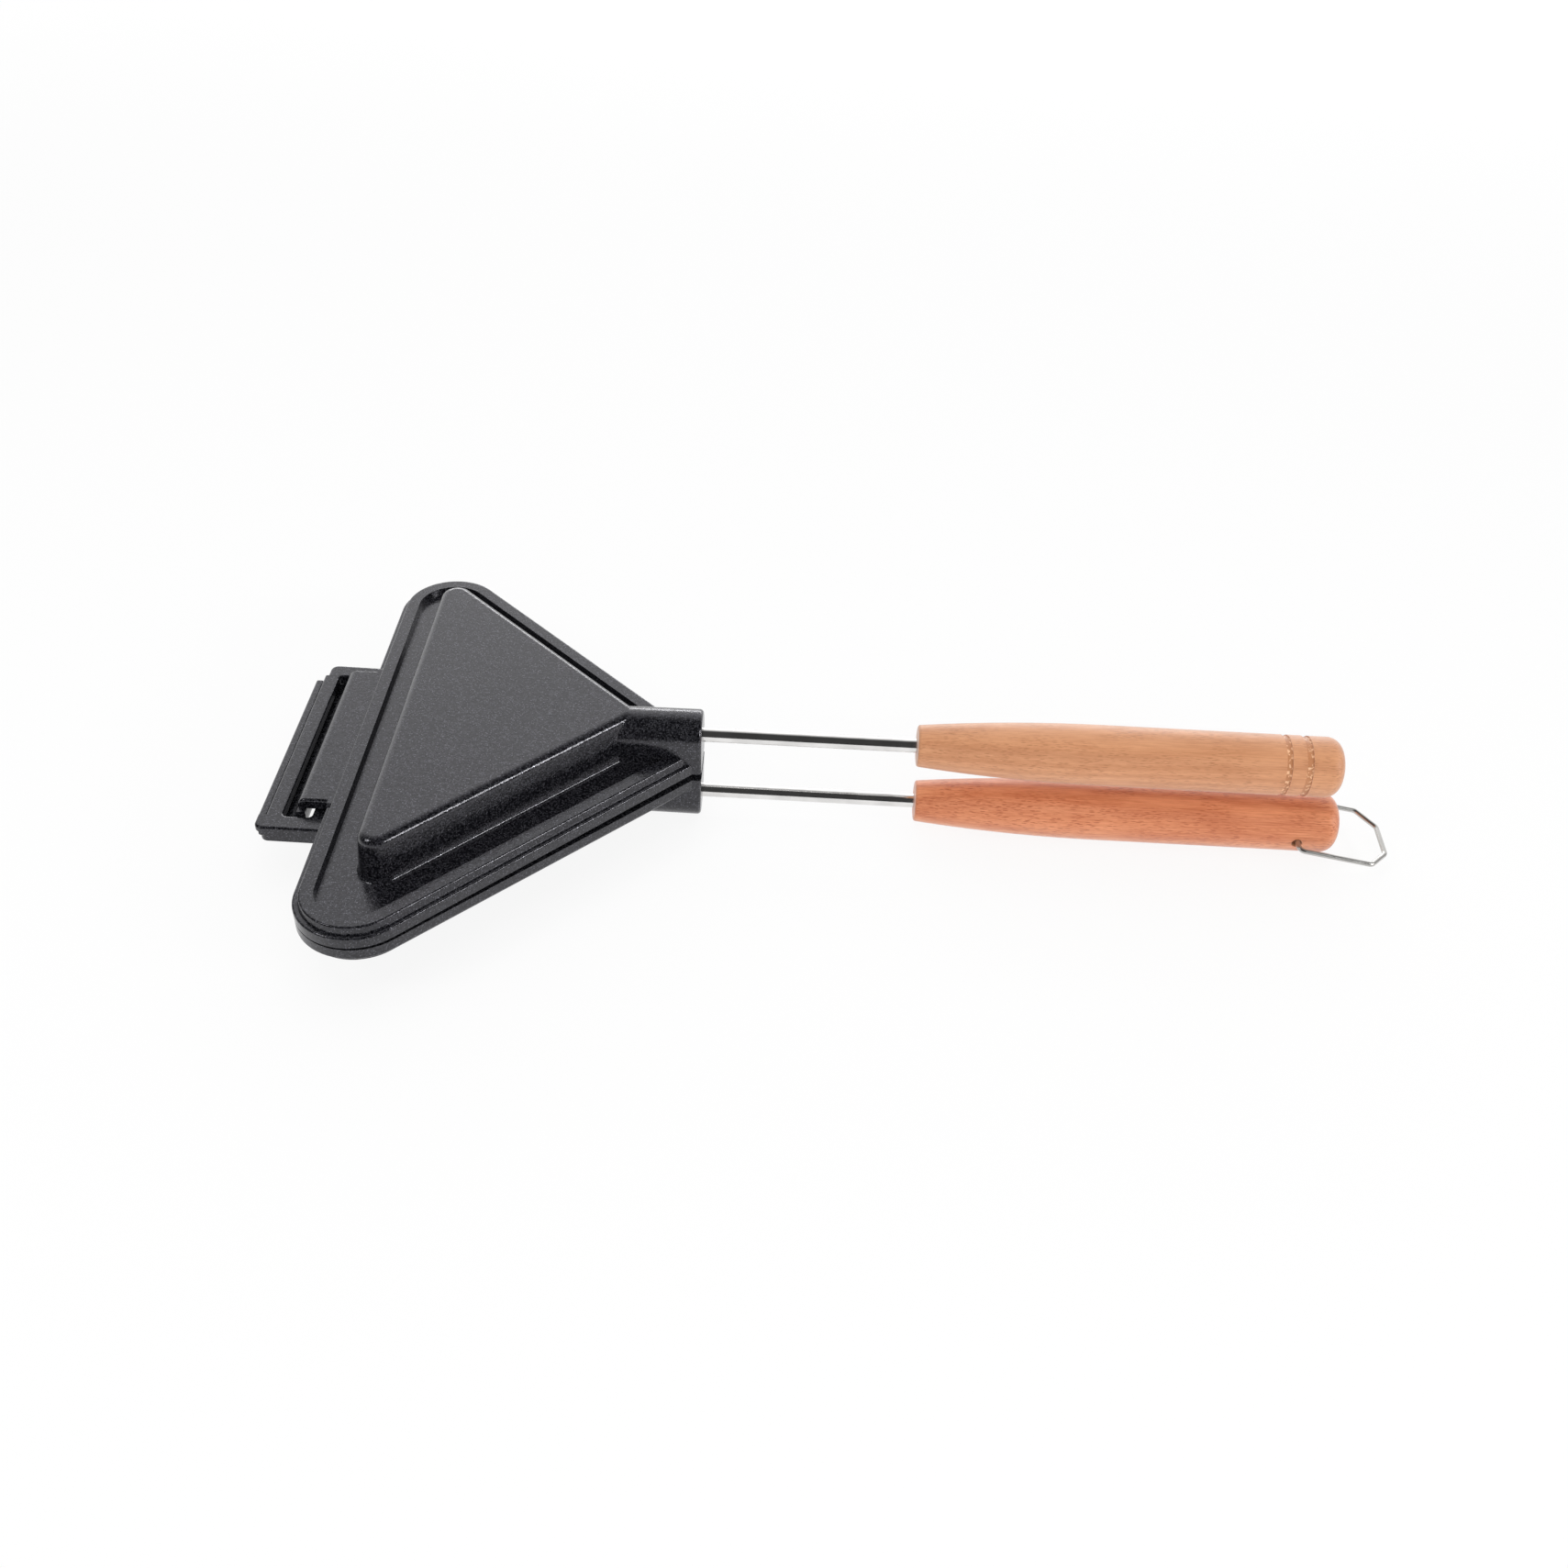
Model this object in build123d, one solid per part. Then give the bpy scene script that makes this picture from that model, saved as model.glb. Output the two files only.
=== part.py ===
from build123d import *
from math import cos, radians, sin
import os

os.makedirs("parts", exist_ok=True)

# Plan of both plates: half of a square, its long side at the hinge
base_length = 180.0
rim_corner = 17.7
half_angle = 45.0
dome_corner = 6.5
pocket_corner = 5.0

# Heights of the outside, measured from the face where the plates meet
rim_height = 3.6
band_height = 6.0
dome_height = 18.3

# How far each outside step lies in from the rim
band_foot_inset = 1.4
band_top_inset = 2.1
moat_top_inset = 6.2
moat_foot_inset = 6.7
dome_foot_inset = 15.8
dome_top_inset = 17.4

# Inside of each plate: drip channel, crimping land and bread pocket
channel_outer_inset = 2.9
channel_inner_inset = 5.4
channel_depth = 2.4
land_inset = 8.2
land_depth = 0.8
pocket_mouth_inset = 18.6
pocket_floor_inset = 20.2
pocket_depth = 14.8

# Rounded edges of the casting
rim_round = 0.6
band_round = 0.6
dome_round = 2.6
dome_foot_round = 1.2
pocket_round = 2.0
boss_round = 1.2
boss_foot_round = 0.8

# Boss that carries the rod
boss_half_width = 7.9
boss_axis_height = 9.9
boss_start = 72.0
boss_end = 110.0
boss_end_wall = 2.5

# Hinge: a slotted frame on the lower plate, a tongue and hook on the upper one
frame_half_length = 41.8
near_arm_reach = 20.9
far_arm_reach = 17.6
bar_reach = 18.6
bar_width = 4.8
bar_round = 0.8
frame_corner = 2.5
arm_depth = 5.2
arm_line_depth = 1.9
arm_step = 1.4
arm_width = 6.0
slot_half_length = frame_half_length - arm_width
slot_width = 8.8
slot_corner = 1.5
hook_wall = 2.6
hook_bore_radius = 2.95
hook_slack = 3.85
hook_end_play = 0.6
hook_edge_round = 0.8
pivot_x = -16.2
pivot_z = -1.8
tongue_side_gap = 2.4
tongue_half_length = slot_half_length - tongue_side_gap
tongue_top = 4.4
tongue_underside = 1.0
tongue_root = 1.9
tip_round = 0.8

# How far the upper plate stands open at rest
rest_opening = 1.15

# Rods and handles: each arm leans a little towards the other
arm_lean = 0.53
arm_reference_x = 100.0
rod_radius = 2.25
rod_seat_clearance = 0.05
rod_root = -8.5
rod_seat_depth_spare = 0.5
rod_in_handle = 58.0
rod_chamfer = 0.5
upper_handle_start = 77.0
upper_handle_length = 132.3
lower_handle_start = 78.1
lower_handle_length = 135.2
handle_start_radius = 6.5
handle_grip_radius = 9.55
handle_swell_length = 58.0
handle_start_round = 0.8
handle_end_round = 4.6

# Turned rings near the end of the upper handle: distance from its start, width
handle_rings = [(113.2, 1.8), (119.4, 2.1)]
ring_depth = 0.4

# Cross hole of the lower handle and the wire loop in it
loop_hole_from_end = 13.5
loop_hole_radius = 1.7
handle_turn = 9.0
wire_radius = 0.8
wire_bend = 2.0
loop_half_width = 12.3
loop_leg = 24.6
loop_reach = 30.7
loop_bar_half = 6.1
loop_end_in_hole = 2.0
loop_turn = 4.0
loop_slide = 1.1
loop_droop = 10.8

# Middle of the flat dome face that the pan rests on
rest_face_x = 45.0

side_slope = cos(radians(half_angle))
side_distance = (base_length / 2 - rim_corner) * side_slope + rim_corner + rim_corner * side_slope


def plan(inset, corner, height):
    """Outline of the plate, moved in by inset, at a height; its point is cut off inside the boss."""
    reach = (side_distance - inset) / side_slope
    cut = boss_end - boss_end_wall
    if reach > cut:
        end = [(cut, cut - reach), (cut, reach - cut)]
    else:
        end = [(reach, 0)]
    face = make_face(Polyline((inset, reach - inset), (inset, inset - reach), *end, close=True))
    rounded = face.vertices().group_by(Axis.X)[0]
    if reach <= cut:
        rounded = face.vertices()
    return Pos(0, 0, height) * fillet(rounded, corner)


def step(foot_inset, foot_height, top_inset, top_height, corner=None):
    """Solid between two outlines; its corners keep one centre, the rim's unless a corner is given."""
    if corner is None:
        corner = rim_corner - foot_inset
    foot = plan(foot_inset, corner, foot_height)
    top = plan(top_inset, corner - (top_inset - foot_inset), top_height)
    return loft([foot, top], ruled=True)


def edges_at(solid, height):
    """Edges that lie wholly at one height."""
    return solid.edges().filter_by(lambda e: all(abs(v.Z - height) < 1e-4 for v in e.vertices()))


def rim():
    """Flat rim that carries everything else of the plate."""
    slab = extrude(plan(0, rim_corner, 0), rim_height)
    return fillet(edges_at(slab, rim_height), rim_round)


def band():
    """Raised band just inside the rim, with the moat between it and the dome."""
    outer = step(band_foot_inset, rim_height - rim_round, band_top_inset, band_height)
    outer = fillet(edges_at(outer, band_height), band_round)
    moat = step(moat_foot_inset, rim_height, moat_top_inset, band_height + 0.01)
    return outer - moat


def dome():
    """Outside of the bread pocket, with a rounded top edge and a small round at its foot."""
    body = step(dome_foot_inset, rim_height, dome_top_inset, dome_height, dome_corner)
    return fillet(edges_at(body, dome_height), dome_round)


def boss():
    """Round-topped boss that the rod goes into."""
    half = boss_half_width
    axis = boss_axis_height
    section = make_face([
        Line((-half, 0), (half, 0)),
        Line((half, 0), (half, axis)),
        ThreePointArc((half, axis), (0, axis + half), (-half, axis)),
        Line((-half, axis), (-half, 0)),
    ])
    body = extrude(Plane.YZ.offset(boss_start) * section, boss_end - boss_start)
    end_face = body.faces().sort_by(Axis.X)[-1]
    edges = end_face.edges().filter_by(lambda e: max(v.Z for v in e.vertices()) > 1)
    return fillet(edges, boss_round)


def inside():
    """What is hollow in the plate, as solids to cut away."""
    outer = step(channel_outer_inset, -1, channel_outer_inset, channel_depth)
    inner = step(channel_inner_inset, -1, channel_inner_inset, channel_depth)
    land = step(land_inset, -1, land_inset, land_depth)
    pocket = step(pocket_mouth_inset, land_depth, pocket_floor_inset, pocket_depth, pocket_corner)
    pocket = fillet(edges_at(pocket, pocket_depth), pocket_round)
    return [outer - inner, land, pocket]


def arm_axis():
    """Placement of an arm: its own X runs along the rod, from the reference point in the boss."""
    return Pos(arm_reference_x, 0, boss_axis_height) * Rot(0, arm_lean, 0)


def along_x(radius, start, end):
    """Cylinder along X between two distances."""
    return Pos((start + end) / 2, 0, 0) * Rot(0, 90, 0) * Cylinder(radius, end - start)


def block(across, along, upright):
    """Box between two values of X, of Y and of Z."""
    sides = (across, along, upright)
    middle = [(low + high) / 2 for low, high in sides]
    size = [high - low for low, high in sides]
    return Pos(*middle) * Box(*size)


def half_plate():
    """What both castings share, with the meeting face at height 0 and the dome upwards."""
    shell = rim() + band() + dome() + boss()
    dome_reach = (side_distance - dome_foot_inset) / side_slope
    foot = [e for e in edges_at(shell, rim_height) if e.center().X > dome_foot_inset - 0.5]
    foot = [e for e in foot if abs(e.center().Y) + e.center().X < dome_reach + 0.5]
    shell = fillet(foot, dome_foot_round)
    sides = [e for e in edges_at(shell, rim_height) if abs(abs(e.center().Y) - boss_half_width) < 0.01]
    shell = fillet(sides, boss_foot_round)
    for hollow in inside():
        shell = shell - hollow
    seat_radius = rod_radius + rod_seat_clearance
    return shell - arm_axis() * along_x(seat_radius, rod_root - rod_seat_depth_spare, boss_end)


def tongue_and_hook():
    """Tongue that runs out from the rim, turns down through the slot and curls round the bar."""
    inner = hook_bore_radius
    outer = inner + hook_wall
    web_x = pivot_x + hook_slack
    left = web_x + inner
    right = web_x + outer
    nose = tongue_top - hook_wall
    profile = make_face([
        Line((tongue_root, tongue_top), (right, tongue_top)),
        CenterArc((right, nose), hook_wall, 90, 90),
        Line((left, nose), (left, pivot_z)),
        CenterArc((web_x, pivot_z), inner, -90, 90),
        Line((web_x, pivot_z - inner), (pivot_x, pivot_z - inner)),
        CenterArc((pivot_x, pivot_z), inner, 180, 90),
        Line((pivot_x - inner, pivot_z), (pivot_x - outer, pivot_z)),
        CenterArc((pivot_x, pivot_z), outer, 180, 90),
        Line((pivot_x, pivot_z - outer), (web_x, pivot_z - outer)),
        CenterArc((web_x, pivot_z), outer, -90, 90),
        Line((right, pivot_z), (right, tongue_underside)),
        Line((right, tongue_underside), (tongue_root, tongue_underside)),
        Line((tongue_root, tongue_underside), (tongue_root, tongue_top)),
    ])
    half = slot_half_length - hook_end_play
    body = extrude(Plane.XZ * profile, half, both=True)
    for side in (-1, 1):
        beside_tongue = sorted((side * tongue_half_length, side * 2 * half))
        body = body - block((2 * pivot_x, 0), beside_tongue, (tongue_underside, 2 * tongue_top))
    tip = [e for e in edges_at(body, pivot_z).filter_by(Axis.Y) if e.center().X < pivot_x]
    body = fillet(tip, tip_round)
    return fillet(edges_at(body, tongue_top).filter_by(Axis.X), hook_edge_round)


def frame_outline():
    """Plan of the frame, whose near arm stands out past the bar and whose far arm stays behind it."""
    half = frame_half_length
    end = slot_half_length
    slot_left = -bar_reach + bar_width
    outline = make_face(Polyline(
        (tongue_root, -half), (-near_arm_reach, -half), (-near_arm_reach, -end), (-bar_reach, -end),
        (-bar_reach, end), (-far_arm_reach, end), (-far_arm_reach, half), (tongue_root, half), close=True))
    corners = [v for v in outline.vertices() if abs(abs(v.Y) - half) < 1e-4 and v.X < 0]
    outline = fillet(corners, frame_corner)
    slot = Pos(slot_left + slot_width / 2, 0) * Rectangle(slot_width, 2 * end)
    return outline - fillet(slot.vertices(), slot_corner)


def loop_frame():
    """Slotted frame of the lower plate, level with the meeting face, whose outer bar is the hinge pin."""
    frame = extrude(frame_outline(), -rim_height)
    slot_left = -bar_reach + bar_width
    bar_edges = [e for e in frame.edges().filter_by(Axis.Y) if e.center().X < slot_left + 0.1]
    frame = fillet(bar_edges, bar_round)
    near_end = (-2 * near_arm_reach, arm_step - near_arm_reach)
    below_line = (-rim_height, -arm_line_depth)
    frame = frame - block(near_end, (-frame_half_length, -slot_half_length), below_line)
    for side, reach in ((-1, near_arm_reach), (1, far_arm_reach)):
        along = sorted((side * slot_half_length, side * frame_half_length))
        arm = block((arm_step - reach, tongue_root), along, (-arm_depth, -arm_line_depth))
        corner = min(arm.edges().filter_by(Axis.Z), key=lambda e: e.center().X - side * e.center().Y)
        frame = frame + fillet(corner, frame_corner)
    return frame


def upper_plate():
    """Upper casting, closed down on the lower one."""
    return half_plate() + tongue_and_hook()


def lower_plate():
    """Lower casting: the shared half turned over, with the hinge frame."""
    return mirror(half_plate(), about=Plane.XY) + loop_frame()


def rod(handle_start):
    """Straight steel rod from its seat in the boss to its seat in the handle."""
    body = along_x(rod_radius, rod_root, handle_start + rod_in_handle)
    return chamfer(body.edges().filter_by(GeomType.CIRCLE), rod_chamfer)


def handle(start, length, rings):
    """Turned wooden grip along X, bored for the rod, with the given turned rings."""
    swell = handle_swell_length
    grip = handle_grip_radius
    rise = grip - handle_start_radius
    profile = make_face([
        Line((0, 0), (0, handle_start_radius)),
        ThreePointArc((0, handle_start_radius), (swell / 2, grip - rise / 4), (swell, grip)),
        Line((swell, grip), (length, grip)),
        Line((length, grip), (length, 0)),
        Line((length, 0), (0, 0)),
    ])
    body = revolve(profile, Axis.X)
    circles = body.edges().filter_by(GeomType.CIRCLE).sort_by(Axis.X)
    body = fillet(circles[-1], handle_end_round)
    circles = body.edges().filter_by(GeomType.CIRCLE).sort_by(Axis.X)
    body = fillet(circles[0], handle_start_round)
    for place, width in rings:
        tool = along_x(grip + 1, place, place + width) - along_x(grip - ring_depth, place, place + width)
        body = body - tool
    body = body - along_x(rod_radius + rod_seat_clearance, -1, rod_in_handle + rod_seat_depth_spare)
    return Pos(start, 0, 0) * body


def loop_place(turn):
    """Middle of the cross hole in the lower arm, turned about the rod."""
    hole = lower_handle_start + lower_handle_length - loop_hole_from_end
    return Pos(hole, 0, 0) * Rot(turn, 0, 0)


def lower_handle():
    """Grip with the cross hole for the wire loop."""
    drill = Rot(90, 0, 0) * Cylinder(loop_hole_radius, 3 * handle_grip_radius)
    return handle(lower_handle_start, lower_handle_length, []) - loop_place(handle_turn) * drill


def hanging_loop():
    """Bent wire bail whose two ends sit in the cross hole, slid a little to one side."""
    near = loop_half_width
    path = FilletPolyline(
        (0, -loop_end_in_hole), (0, -near), (loop_leg, -near), (loop_reach, -loop_bar_half),
        (loop_reach, loop_bar_half), (loop_leg, near), (0, near), (0, loop_end_in_hole),
        radius=wire_bend)
    wire = sweep(Plane(path @ 0, z_dir=path % 0) * Circle(wire_radius), path=path)
    return Rot(0, loop_droop, 0) * Pos(0, -loop_slide, 0) * wire


def lower_arm():
    """Placement of the lower arm: the upper arm's mirror image."""
    return Pos(arm_reference_x, 0, -boss_axis_height) * Rot(0, -arm_lean, 0)


ground = Pos(-rest_face_x, 0, dome_height)
opened = ground * Pos(pivot_x, 0, pivot_z) * Rot(0, -rest_opening, 0) * Pos(-pivot_x, 0, -pivot_z)

swing = ground * lower_arm() * loop_place(loop_turn)

pieces = {
    "upper_plate": opened * upper_plate(),
    "lower_plate": ground * lower_plate(),
    "upper_rod": opened * arm_axis() * rod(upper_handle_start),
    "lower_rod": ground * lower_arm() * rod(lower_handle_start),
    "upper_handle": opened * arm_axis() * handle(upper_handle_start, upper_handle_length, handle_rings),
    "lower_handle": ground * lower_arm() * lower_handle(),
    "hanging_loop": swing * hanging_loop(),
}

for name, piece in pieces.items():
    solids = piece.solids()
    box = piece.bounding_box()
    print(name, len(solids), "solid", piece.is_valid, f"{piece.volume:.0f} mm3", box.min, box.max)
    export_step(piece, f"parts/{name}.step")

loop_bar = swing * Rot(0, loop_droop, 0) * Pos(loop_reach - wire_radius, -loop_slide, 0)
print("hinge", (ground * Pos(pivot_x, 0, pivot_z)).position)
print("loop swing", swing.position, "along", (swing * Plane.XY).y_dir)
print("inner side of the loop's bar", loop_bar.position)
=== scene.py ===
# %% [markdown]
# # A double-sided sandwich pan
#
# Two cast plates close round a folded sandwich. Each plate is held by a steel
# rod in a turned beech grip, and a bent wire loop hangs the pan up.
#
# The shapes come from the measured frame, so this lesson is about dressing
# them: a speckled non-stick coat, bright drawn steel and two shades of beech,
# under the soft white light of a small product table.

# %% Load the frame
from math import atan2, cos, degrees, radians, sin

import bmesh
import bpy
from mathutils import Matrix, Vector

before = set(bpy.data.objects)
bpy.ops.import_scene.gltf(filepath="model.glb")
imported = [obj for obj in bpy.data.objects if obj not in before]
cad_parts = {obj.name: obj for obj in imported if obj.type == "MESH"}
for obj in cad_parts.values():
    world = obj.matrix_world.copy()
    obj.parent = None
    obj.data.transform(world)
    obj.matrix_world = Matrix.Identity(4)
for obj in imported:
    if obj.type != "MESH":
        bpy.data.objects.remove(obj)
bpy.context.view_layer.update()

# %% [markdown]
# ## The camera
#
# The picture is taken from a little above the table, with the pan lying across
# it. A camera can be aimed with a constraint, but a product picture is often
# tipped a few degrees as well, so the three directions of the camera are worked
# out here from an azimuth, an elevation and a roll, and set as one matrix.

# %% Where the camera looks from
azimuth = radians(-0.814)
elevation = radians(39.358)
roll = radians(3.983)
distance = 0.5080
target = Vector((0.09098, -0.00682, 0.0183))

across = cos(elevation)
towards_camera = Vector((sin(azimuth) * across, -cos(azimuth) * across, sin(elevation)))
level_right = Vector((cos(azimuth), sin(azimuth), 0))
level_up = towards_camera.cross(level_right)
right = cos(roll) * level_right + sin(roll) * level_up
up = -sin(roll) * level_right + cos(roll) * level_up
print("towards the camera", [round(v, 3) for v in towards_camera])

# %% [markdown]
# The lens is given as a focal length in pixels of the picture, which becomes
# millimetres once the width of the sensor is known.

# %% Set up the camera
PICTURE_PIXELS = 1709
FOCAL_PIXELS = 1762.0
SENSOR_MM = 36.0

camera_data = bpy.data.cameras.new("table_camera")
camera_data.sensor_width = SENSOR_MM
camera_data.lens = FOCAL_PIXELS / PICTURE_PIXELS * SENSOR_MM
camera_data.clip_start = 0.01
camera = bpy.data.objects.new("table_camera", camera_data)
bpy.context.scene.collection.objects.link(camera)
turned = Matrix((right, up, towards_camera)).transposed().to_4x4()
camera.matrix_world = Matrix.Translation(target + distance * towards_camera) @ turned
bpy.context.scene.camera = camera
print("lens", round(camera_data.lens, 2), "mm")

# %% [markdown]
# ## A small language for materials
#
# A material is a graph of nodes, and a graph is tedious to read in code. The
# class below wraps one output of a node. Its plus, minus and times add Math
# nodes, so a mask can be written as the sum that it is. Every other node comes
# from one method, which sets the node's settings first and then its sockets.


# %% Sockets that can be added and multiplied
class Flow:
    """One value on its way through a material."""

    def __init__(self, tree, socket=None):
        self.tree = tree
        self.socket = socket

    def node(self, kind, settings=None, sockets=None, output=0):
        """Add a node, set it, feed its sockets and return one of its outputs."""
        made = self.tree.nodes.new(kind)
        for name, value in (settings or {}).items():
            setattr(made, name, value)
        for name, value in (sockets or {}).items():
            if isinstance(value, Flow):
                self.tree.links.new(value.socket, made.inputs[name])
            else:
                made.inputs[name].default_value = value
        return Flow(self.tree, made.outputs[output])

    def maths(self, operation, first, second):
        return self.node("ShaderNodeMath", {"operation": operation}, {0: first, 1: second})

    def __add__(self, other):
        return self.maths("ADD", self, other)

    def __radd__(self, other):
        return self.maths("ADD", other, self)

    def __sub__(self, other):
        return self.maths("SUBTRACT", self, other)

    def __rsub__(self, other):
        return self.maths("SUBTRACT", other, self)

    def __mul__(self, other):
        return self.maths("MULTIPLY", self, other)

    def __rmul__(self, other):
        return self.maths("MULTIPLY", other, self)

    def rising(self, low, high):
        """0 below low, 1 above high, and a smooth rise between them."""
        settings = {"interpolation_type": "SMOOTHSTEP"}
        return self.node("ShaderNodeMapRange", settings, {0: self, 1: low, 2: high, 3: 0.0, 4: 1.0})

    def colour_to(self, first, second):
        """Mix two colours by this value."""
        settings = {"data_type": "RGBA"}
        return self.node("ShaderNodeMix", settings, {0: self, 6: first, 7: second}, output=2)


def rgb(red, green, blue):
    return (red, green, blue, 1.0)


# %% [markdown]
# Every finish below starts the same way: a new material with one Principled
# shader, whose plain numbers are set on the shader itself. The pattern reads
# the piece's own Object coordinates, in metres, so that one millimetre of grain
# is a millimetre on every piece and moves with it when the pan is opened.


# %% Start a finish
def start_finish(name, **plain):
    """New material, its shader, the flow of its tree and its object coordinates."""
    material = bpy.data.materials.new(name)
    material.use_nodes = True
    shader = material.node_tree.nodes["Principled BSDF"]
    for socket, value in plain.items():
        shader.inputs[socket.replace("_", " ")].default_value = value
    flow = Flow(material.node_tree)
    place = flow.node("ShaderNodeTexCoord", output=3)
    return material, shader, flow, place


def feed(shader, socket, value):
    """Link a varying value to one of the shader's sockets."""
    value.tree.links.new(value.socket, shader.inputs[socket])


# %% [markdown]
# Three patterns come back in every finish: a noise, given by how many of its
# lumps fit in a metre, the same coordinates drawn out along the pan, and relief.
# Relief could be real geometry, but at a few hundredths of a millimetre a bump
# looks the same and costs nothing.


# %% Noise, stretch and relief
def noise(place, per_metre, detail=2.0, rough=0.5):
    return place.node("ShaderNodeTexNoise", None, {0: place, 2: per_metre, 3: detail, 4: rough})


def stretched(place, along, across):
    """Coordinates in which a pattern is drawn out along the pan's length."""
    scale = (along, across, across)
    return place.node("ShaderNodeMapping", {"vector_type": "POINT"}, {0: place, 3: scale})


def bump(height, millimetres, strength):
    """Relief of the given depth for the shader's Normal."""
    sockets = {"Strength": strength, "Distance": millimetres / 1000, "Height": height}
    return height.node("ShaderNodeBump", None, sockets)


# %% [markdown]
# ## The non-stick coat
#
# The castings are sprayed with a nearly black coat. Seen from above it looks
# grey, because its level faces mirror the bright far side of the room, and it
# looks black where it mirrors its own walls. So the colour stays very dark and
# the mirror does the work.
#
# The coat also carries fine metal flakes. They are the middles of half
# millimetre Voronoi cells, and each cell's own random colour says how much of
# its flake comes through, so a few are bright and most are faint.

# %% Metal flakes
FLAKES_PER_METRE = 2000.0


def metal_flakes(flow, place):
    """Mask of the flakes: 1 in the middle of the brightest ones."""
    cells = {"Vector": place, "Scale": FLAKES_PER_METRE}
    near = flow.node("ShaderNodeTexVoronoi", {"feature": "F1"}, cells)
    pick = flow.node("ShaderNodeTexVoronoi", {"feature": "F1"}, cells, output=1)
    chosen = flow.node("ShaderNodeSeparateColor", None, {0: pick}).rising(0.45, 0.98)
    return (1 - near.rising(0.15, 0.55)) * chosen


print("flakes are", 1000 / FLAKES_PER_METRE, "mm apart")

# %% [markdown]
# The coat dries to a fine grain. Two noises, with lumps of about two thirds of a
# millimetre and of a millimetre and a half, tilt the surface and break the
# sheen, and the finer one makes the crests a little greyer as well. A slow cloud
# changes the gloss from place to place, as a sprayed coat does.

# %% Speckled coat
GRAIN_PER_METRE = 1500.0
PEEL_PER_METRE = 700.0
CLOUDS_PER_METRE = 45.0
COOL_TINT = rgb(0.95, 0.94, 1.0)
HOLLOW = rgb(0.001, 0.001, 0.002)
CREST = rgb(0.026, 0.026, 0.031)
FLAKE = rgb(0.17, 0.17, 0.19)

coat, shader, flow, place = start_finish(
    "speckled_coat", Specular_IOR_Level=0.62, Specular_Tint=COOL_TINT)
grain = noise(place, GRAIN_PER_METRE, 2.0, 0.7)
peel = noise(place, PEEL_PER_METRE)
cloud = noise(place, CLOUDS_PER_METRE, 3.0)
flake = metal_flakes(flow, place)
dark = grain.rising(0.40, 0.70).colour_to(HOLLOW, CREST)
feed(shader, "Base Color", flake.colour_to(dark, FLAKE))
feed(shader, "Metallic", flake)
feed(shader, "Roughness", 0.09 + grain * 0.10 + cloud * 0.04)
feed(shader, "Normal", bump(grain * 0.9 + peel * 0.7, 0.07, 0.9))
print(coat.name, len(coat.node_tree.nodes), "nodes")

# %% [markdown]
# ## Drawn steel
#
# A drawn rod keeps faint straight lines from the die. The same steel is used
# for the rods and, darker and a little duller, for the bent wire of the loop.

# %% Bright steel
DIE_LINES_PER_METRE = 5200.0
HAZE_PER_METRE = 140.0
HAZE_DARKENS_TO = 0.86


def drawn_steel(name, base, gloss):
    material, shader, flow, place = start_finish(name, Metallic=1.0)
    lines = noise(stretched(place, 12.0, DIE_LINES_PER_METRE), 1.0)
    haze = noise(place, HAZE_PER_METRE)
    darker = rgb(*(HAZE_DARKENS_TO * value for value in base[:3]))
    feed(shader, "Base Color", haze.rising(0.3, 0.7).colour_to(darker, base))
    feed(shader, "Roughness", gloss + lines * 0.06 + haze * 0.04)
    feed(shader, "Normal", bump(lines, 0.004, 0.3))
    print(name, len(material.node_tree.nodes), "nodes")
    return material


rod_steel = drawn_steel("drawn_rod_steel", rgb(0.84, 0.83, 0.82), 0.10)
loop_steel = drawn_steel("bent_wire_steel", rgb(0.60, 0.59, 0.57), 0.26)

# %% [markdown]
# ## Turned beech
#
# Beech has faint growth rings, a fine straight fibre and a scatter of short
# brown flecks where the rays are cut through. Its pattern runs along the grip,
# and the grips lean a little, so each grip's own axis is read from its mesh: the
# middle of its first millimetre and the middle of its last one.

# %% Axis of a grip
END_SLICE = 0.001


def slice_middle(points):
    return Vector([(min(p[i] for p in points) + max(p[i] for p in points)) / 2 for i in range(3)])


def grip_axis(name):
    """Start point of a grip and the angle by which it falls along its length."""
    points = [vertex.co.copy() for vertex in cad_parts[name].data.vertices]
    first = min(p.x for p in points)
    last = max(p.x for p in points)
    start = slice_middle([p for p in points if p.x < first + END_SLICE])
    end = slice_middle([p for p in points if p.x > last - END_SLICE])
    fall = atan2(start.z - end.z, end.x - start.x)
    print(name, "starts at", [round(v, 4) for v in start], "falls", round(degrees(fall), 2), "degrees")
    return start, fall


# %% [markdown]
# The upper grip is turned with two rings near its end. Their grooves are painted
# browner, as painted shade below the surface of the grip, with specks of painted
# highlight. The rings could be painted as two stripes. It is simpler to
# ask how deep a point lies, because only the grooves lie below the surface. The
# mask is kept to the rings' length, so that the narrow start of the grip, the
# bore and the cross hole's place keep their own wood.

# %% Rings with painted shade
GRIP_RADIUS = 0.00955
RINGS_BEGIN = 0.1105
RINGS_END = 0.1240
RINGS_FADE = 0.001
HIGHLIGHT_SPECKS_PER_METRE = 900.0
# Painted shade for the grooves, and pale specks of painted highlight in them.
GROOVE_PAINTED_SHADE = rgb(0.47, 0.19, 0.075)
GROOVE_PAINTED_HIGHLIGHT = rgb(0.86, 0.55, 0.33)


def radius_from_axis(along):
    """Distance from a grip's axis, in metres."""
    sideways = {0: along, 1: (0.0, 1.0, 1.0)}
    across = along.node("ShaderNodeVectorMath", {"operation": "MULTIPLY"}, sideways)
    return along.node("ShaderNodeVectorMath", {"operation": "LENGTH"}, {0: across}, output=1)


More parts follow.
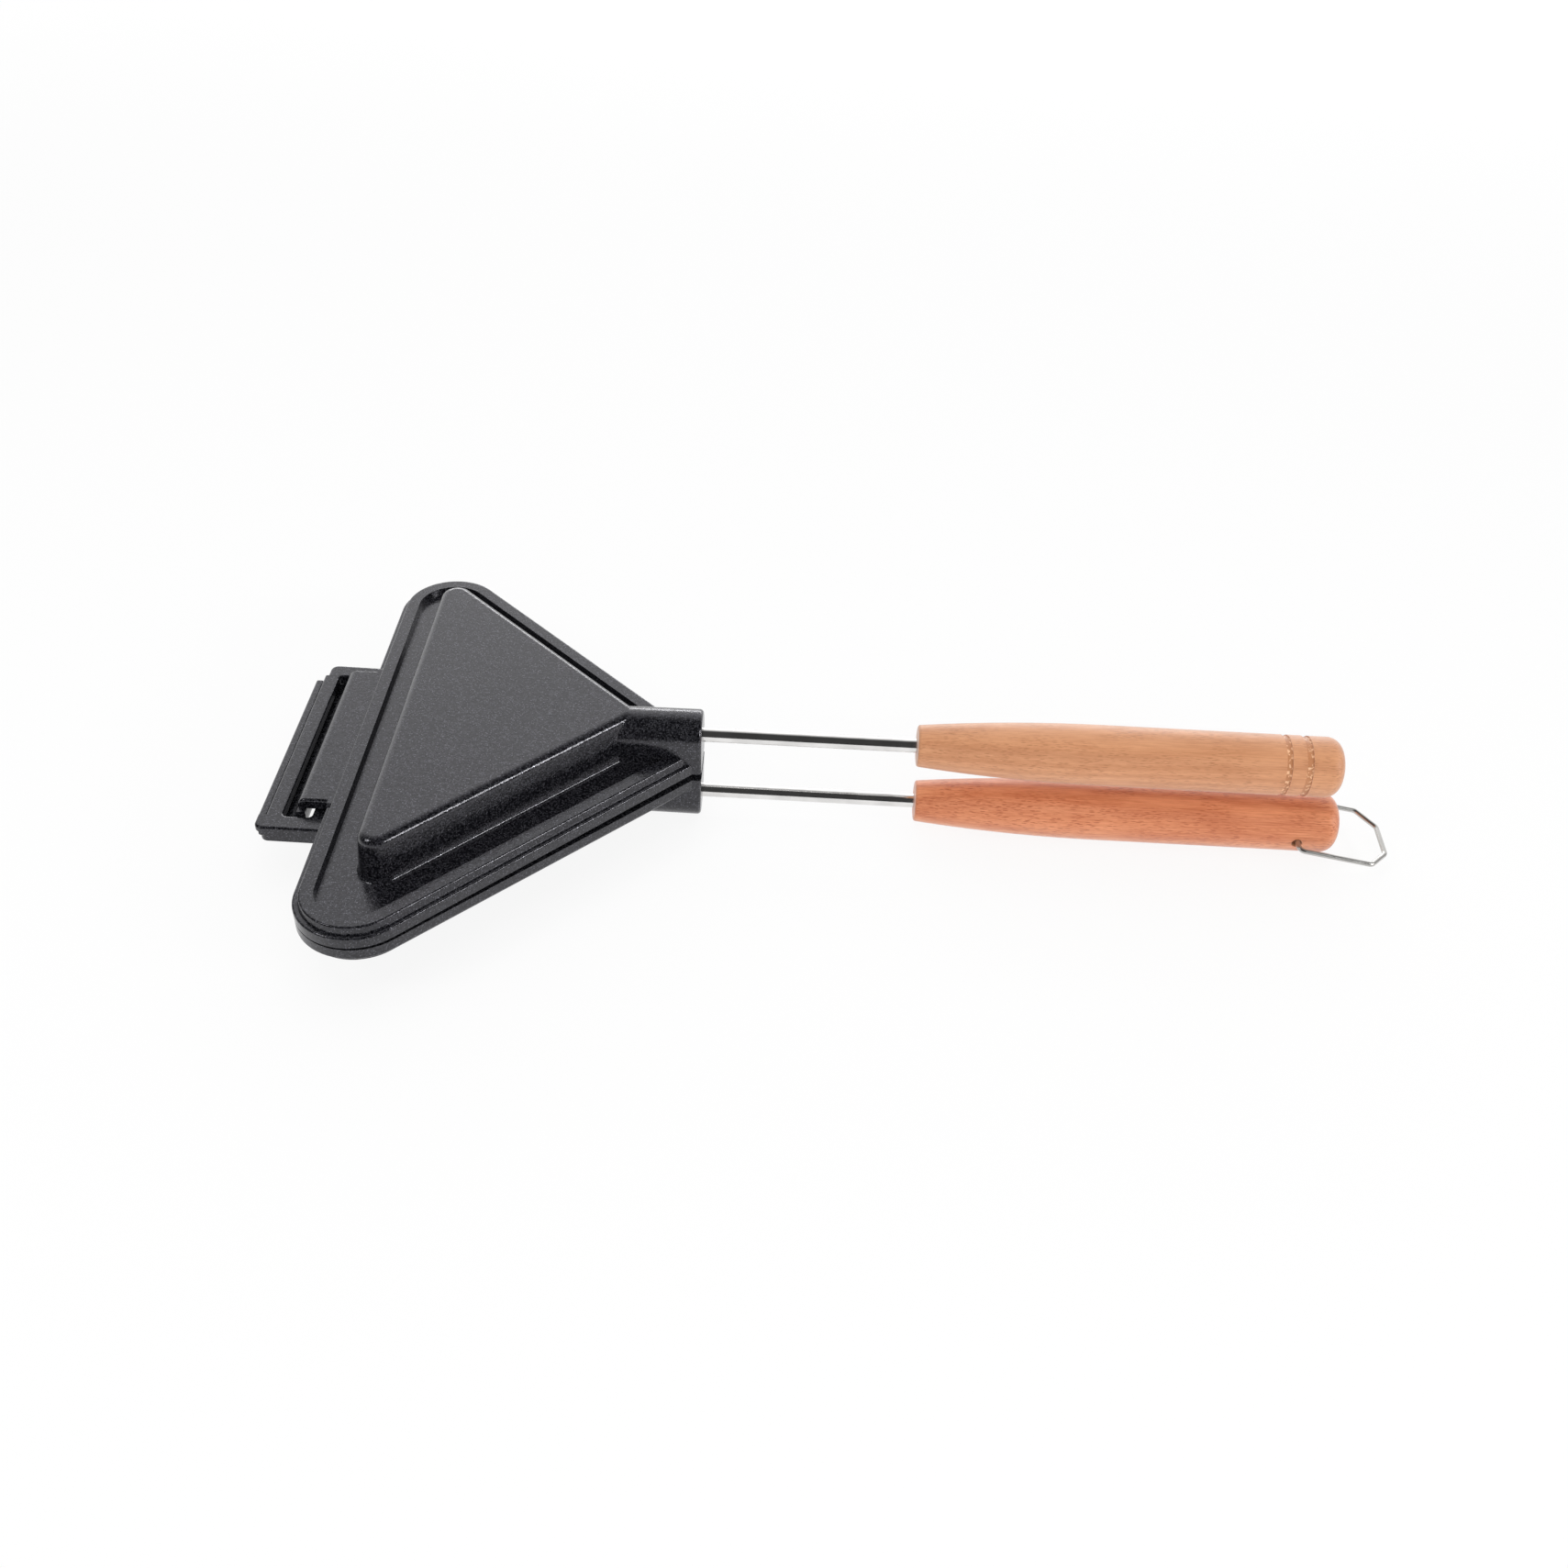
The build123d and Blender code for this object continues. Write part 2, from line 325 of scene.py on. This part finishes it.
def with_rings(along, wood):
    """The wood's colour, with painted shade and specks of painted highlight in the grooves."""
    inside = 1 - radius_from_axis(along).rising(GRIP_RADIUS - 0.0003, GRIP_RADIUS - 0.0001)
    length = along.node("ShaderNodeSeparateXYZ", None, {0: along})
    begun = length.rising(RINGS_BEGIN, RINGS_BEGIN + RINGS_FADE)
    ended = length.rising(RINGS_END - RINGS_FADE, RINGS_END)
    groove = inside * begun * (1 - ended)
    # Painted shade in the grooves, broken by specks of painted highlight.
    painted_highlight_specks = noise(along, HIGHLIGHT_SPECKS_PER_METRE).rising(0.52, 0.62)
    return (groove * 0.8).colour_to(wood, painted_highlight_specks.colour_to(GROOVE_PAINTED_SHADE, GROOVE_PAINTED_HIGHLIGHT))


# %% [markdown]
# A blank is never centred on its tree. Here the tree's axis lies well outside the
# grip and leans a little, which alone gives straight lines on its flanks and long
# arches where they run out. The flecks are stretched Voronoi cells, let through
# in patches. All of it is read in coordinates that start at the grip's own end
# and run along its own axis.

# %% Growth and flecks
RING_SCALE = 110.0
SLANT_OF_TREE = (0.0, 0.03, 0.02)


def growth_rings(along, heart):
    """Rings round the tree's axis, which passes the point heart beside the grip."""
    turned = {0: along, 1: heart, 2: SLANT_OF_TREE}
    log = along.node("ShaderNodeMapping", {"vector_type": "POINT"}, turned)
    wave = {"wave_type": "RINGS", "rings_direction": "X", "wave_profile": "SIN"}
    drawn = {0: log, 1: RING_SCALE, 2: 2.0, 3: 2.0, 4: 0.5}
    return along.node("ShaderNodeTexWave", wave, drawn, output=1)


def ray_flecks(along, patch):
    """Mask of the short flecks."""
    cell = {0: stretched(along, 340.0, 2300.0), 2: 1.0}
    spindle = along.node("ShaderNodeTexVoronoi", {"feature": "F1"}, cell)
    return (1 - spindle.rising(0.18, 0.42)) * patch.rising(0.34, 0.58)


# %% [markdown]
# Rings, fibre and patches are added up to one tone, which picks a colour between
# pale and deep wood, and the flecks are laid over it. The two grips are of the
# same beech, but the lower one is steamed, which turns it redder. A little sheen
# pales the edges of both, as the fine fibres of sanded wood do.


# %% Beech
def beech(name, grip, pale, deep, fleck, heart, flecks):
    """Beech for one grip; flecks says how strongly its flecks show."""
    material, shader, flow, place = start_finish(name, Specular_IOR_Level=0.4, Sheen_Weight=0.4)
    start, fall = grip_axis(grip)
    own = {0: place, 1: start, 2: (0.0, fall, 0.0)}
    along = flow.node("ShaderNodeMapping", {"vector_type": "TEXTURE"}, own)
    waver = noise(stretched(along, 16.0, 90.0), 1.0)
    fibre = noise(stretched(along, 110.0, 2300.0), 1.0, 3.0, 0.75)
    patch = noise(stretched(along, 50.0, 150.0), 1.0)
    cut = ray_flecks(along, patch)
    tone = growth_rings(along, heart) * 0.10 + fibre * 0.60 + waver * 0.22 + patch * 0.22
    wood = (cut * flecks).colour_to(tone.rising(0.40, 0.74).colour_to(pale, deep), fleck)
    feed(shader, "Base Color", with_rings(along, wood))
    feed(shader, "Roughness", 0.38 + fibre * 0.14)
    feed(shader, "Normal", bump(fibre * 0.7 - cut, 0.05, 0.5))
    return material


light_beech = beech(
    "light_beech", "upper_handle",
    pale=rgb(0.675, 0.323, 0.160), deep=rgb(0.53, 0.225, 0.10), fleck=rgb(0.42, 0.17, 0.068),
    heart=(0.0, 0.021, -0.052), flecks=0.85)
red_beech = beech(
    "steamed_beech", "lower_handle",
    pale=rgb(0.76, 0.300, 0.140), deep=rgb(0.54, 0.160, 0.062), fleck=rgb(0.42, 0.10, 0.032),
    heart=(0.0, -0.030, 0.012), flecks=0.95)

# %% [markdown]
# ## Dressing the pieces
#
# Each piece of the frame keeps its shape and takes its finish in its own
# material slot.

# %% Dress the pieces
finishes = {
    "upper_plate": coat, "lower_plate": coat,
    "upper_rod": rod_steel, "lower_rod": rod_steel,
    "upper_handle": light_beech, "lower_handle": red_beech,
    "hanging_loop": loop_steel,
}
for name, finish in finishes.items():
    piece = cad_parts[name]
    for slot in piece.material_slots:
        slot.material = finish
    print(name, len(piece.data.polygons), "faces,", finish.name)

# %% [markdown]
# ## The table
#
# The pan lies on a white table. A big grid would do, but one square is enough
# for a flat top. It lies a fifth of a millimetre low, so that the pan's flat
# underside and the table never share a plane.

# %% Table
TABLE_HALF = 6.0
TABLE_DROP = 0.0002

mesh = bmesh.new()
bmesh.ops.create_grid(mesh, x_segments=1, y_segments=1, size=TABLE_HALF)
table_mesh = bpy.data.meshes.new("table")
mesh.to_mesh(table_mesh)
mesh.free()
table = bpy.data.objects.new("table", table_mesh)
bpy.context.scene.collection.objects.link(table)
table.location = (0.0, 0, -TABLE_DROP)
print("table", 2 * TABLE_HALF, "m wide")

# %% [markdown]
# The camera sees the table as plain white with the pan's soft shadow, which a mix
# of a glowing and a painted surface gives: mostly glow for the camera, so the
# white stays white, and enough paint for a shadow to fall on. Far from the pan it
# is all glow, so the table has no visible end. In reflections the glow fades well
# in front of the pan, which keeps a dark line on each rod, and bounced light
# lifts the undersides of the grips.

# %% White paint that glows
GLOW_SEEN_NEAR = 0.88
GLOW_IN_GLOSS = 0.8
GLOW_IN_BOUNCE = 0.75

table_paint = bpy.data.materials.new("white_table")
table_paint.use_nodes = True
nodes = table_paint.node_tree.nodes
nodes.remove(nodes["Principled BSDF"])
flow = Flow(table_paint.node_tree)
place = flow.node("ShaderNodeTexCoord", output=3)
by_camera = flow.node("ShaderNodeLightPath", output=0)
by_bounce = flow.node("ShaderNodeLightPath", output=2)
by_gloss = flow.node("ShaderNodeLightPath", output=3)
near_pan = flow.node("ShaderNodeSeparateXYZ", None, {0: place}, output=1).rising(-1.20, -0.40)
away = flow.node("ShaderNodeVectorMath", {"operation": "LENGTH"}, {0: place}, output=1)
shown = by_camera * (GLOW_SEEN_NEAR + away.rising(0.45, 1.30) * (1 - GLOW_SEEN_NEAR))
strength = by_camera * 1.01 + by_gloss * near_pan + by_bounce * 1.15
paint = flow.node("ShaderNodeBsdfDiffuse", None, {"Color": rgb(0.78, 0.78, 0.78)})
glow = flow.node("ShaderNodeEmission", None, {"Color": rgb(1, 1, 1), "Strength": strength})
share = shown + by_gloss * GLOW_IN_GLOSS + by_bounce * GLOW_IN_BOUNCE
mixed = flow.node("ShaderNodeMixShader", None, {0: share, 1: paint, 2: glow})
flow.tree.links.new(mixed.socket, nodes["Material Output"].inputs[0])
table_mesh.materials.append(table_paint)
print(table_paint.name, len(nodes), "nodes")

# %% [markdown]
# ## The light
#
# The room is dark in front, right up to overhead, and grows bright towards the
# back. The dark front keeps the near walls of the plates deep and draws the dark
# line down each rod. The bright back lays a sheen over every level face, and
# because it keeps rising, the sheen is stronger on the far side of the pan. An
# image of a studio could be used instead, but one rising value does the same.

# %% Room
ROOM_BRIGHT = 1.44
ROOM_DARK = 0.05

room = bpy.data.worlds.new("white_room")
bpy.context.scene.world = room
room.use_nodes = True
flow = Flow(room.node_tree)
direction = flow.node("ShaderNodeTexCoord", output=0)
depth = flow.node("ShaderNodeSeparateXYZ", None, {0: direction}, output=1)
seen = flow.node("ShaderNodeLightPath", output=0)
level = (depth.rising(0.0, 0.95) * ROOM_BRIGHT + ROOM_DARK) * (1 - seen) + seen
background = room.node_tree.nodes["Background"]
background.inputs["Color"].default_value = rgb(1, 1, 1)
flow.tree.links.new(level.socket, background.inputs["Strength"])
print("room from", ROOM_DARK, "in front to", ROOM_BRIGHT + ROOM_DARK, "at the back")

# %% [markdown]
# Five soft boxes finish the light, and each has one task. The large ones above
# and near the camera bring out the colours, and are hidden from reflections so
# that they leave no patch on the coat. The back strip draws the light line on
# the far edges, the side box the line along the near right edges, and the corner
# box the small spot on the near left corner of the dome.

# %% Lamps
MIDDLE_OF_PAN = Vector((0.06, 0, 0.02))


def softbox(name, width, height, power, place, in_gloss=True):
    """Lamp with a lit rectangle that faces the middle of the pan."""
    data = bpy.data.lights.new(name, "AREA")
    data.shape = "RECTANGLE"
    data.size = width
    data.size_y = height
    data.energy = power
    lamp = bpy.data.objects.new(name, data)
    bpy.context.scene.collection.objects.link(lamp)
    lamp.location = place
    lamp.rotation_euler = (MIDDLE_OF_PAN - Vector(place)).to_track_quat("-Z", "Y").to_euler()
    lamp.visible_glossy = in_gloss
    print(name, width, "by", height, "m,", power, "W")


softbox("top_box", 1.2, 1.2, 6.0, (0.0, 0.1, 1.15), in_gloss=False)
softbox("front_fill", 1.2, 0.8, 5.5, (0.15, -0.95, 0.50), in_gloss=False)
softbox("back_strip", 1.2, 0.16, 4.0, (0.1, 1.25, 0.33))
softbox("side_box", 0.60, 0.20, 7.0, (1.3, -0.50, 0.56))
softbox("corner_box", 0.25, 0.25, 2.0, (-0.75, -0.40, 0.85))

# %% [markdown]
# ## The picture's white
#
# The picture's white is the plain white of the screen, with no filmic curve.

# %% Finish
bpy.context.scene.view_settings.view_transform = "Standard"
